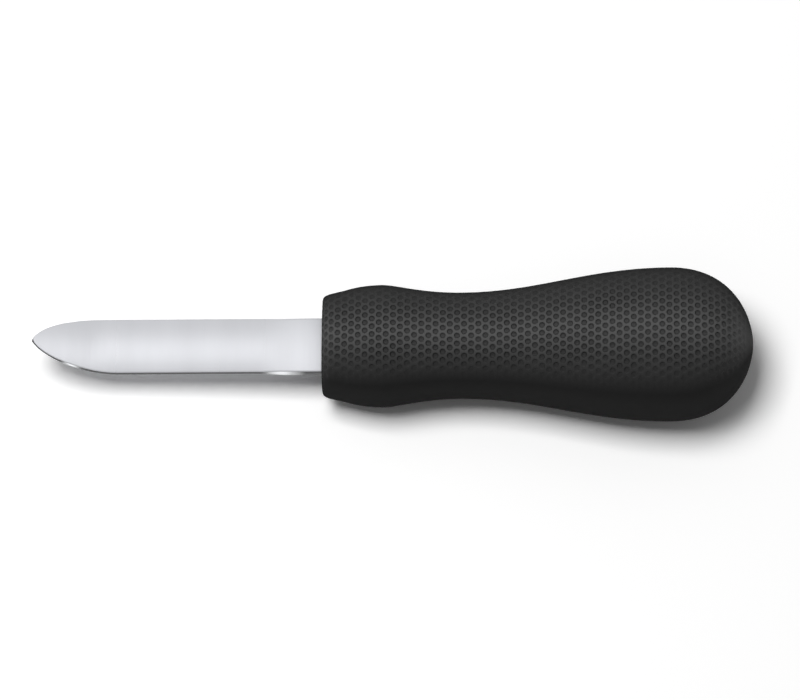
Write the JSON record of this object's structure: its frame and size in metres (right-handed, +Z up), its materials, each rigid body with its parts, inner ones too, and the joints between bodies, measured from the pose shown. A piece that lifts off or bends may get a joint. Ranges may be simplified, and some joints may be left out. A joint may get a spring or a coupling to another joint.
{
  "type": "oyster knife",
  "caption": "Oyster knife with a short, stiff stainless blade that ends in a rounded, bent-up tip, and a black oval soft-grip handle with a dimpled surface.",
  "frame": {"origin": "bottom centre of the bounding box, on the table that the knife lies on", "axes": "+X from the tip to the butt, +Y across the blade, +Z up out of the table"},
  "size_m": [0.1745, 0.0364, 0.0323],
  "materials": {
    "blade_steel": "ground across and lightly polished stainless steel",
    "core_plastic": "moulded polypropylene, hidden inside the grip",
    "grip_rubber": "moulded thermoplastic elastomer with round dimples"
  },
  "bodies": {
    "root": {"blade": "blade_steel", "handle_core": "core_plastic", "grip": "grip_rubber"}
  },
  "joints": []
}
